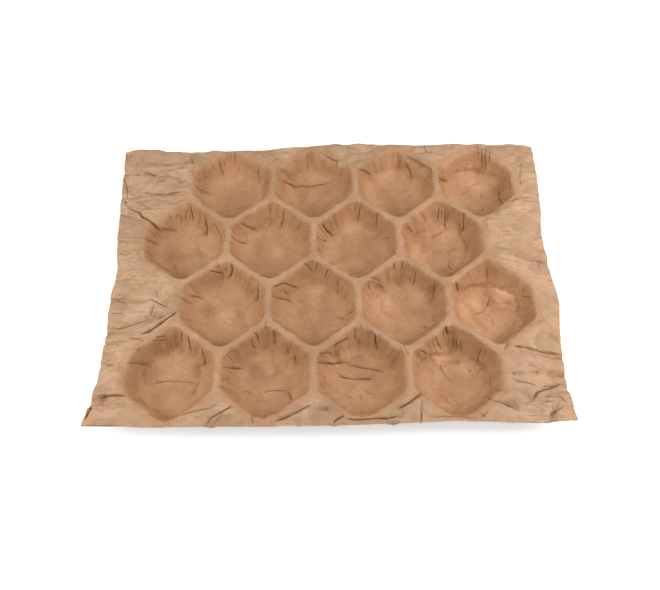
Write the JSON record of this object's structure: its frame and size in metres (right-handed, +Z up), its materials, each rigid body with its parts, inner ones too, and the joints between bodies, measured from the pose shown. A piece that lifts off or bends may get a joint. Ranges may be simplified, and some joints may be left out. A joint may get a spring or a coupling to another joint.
{
  "type": "apple tray",
  "caption": "Fruit tray pressed from one sheet of crinkled brown kraft paper, with staggered rows of rounded six-sided cups, narrow ridges and creased end margins.",
  "frame": {"origin": "middle of the tray's plan, on the surface that it stands on", "axes": "+X along the rows of cups, +Y from the front edge to the back edge, +Z up out of the cups"},
  "size_m": [0.404, 0.298, 0.0266],
  "materials": {
    "kraft": "matt, creased"
  },
  "bodies": {
    "root": {"tray": "kraft"}
  },
  "joints": []
}
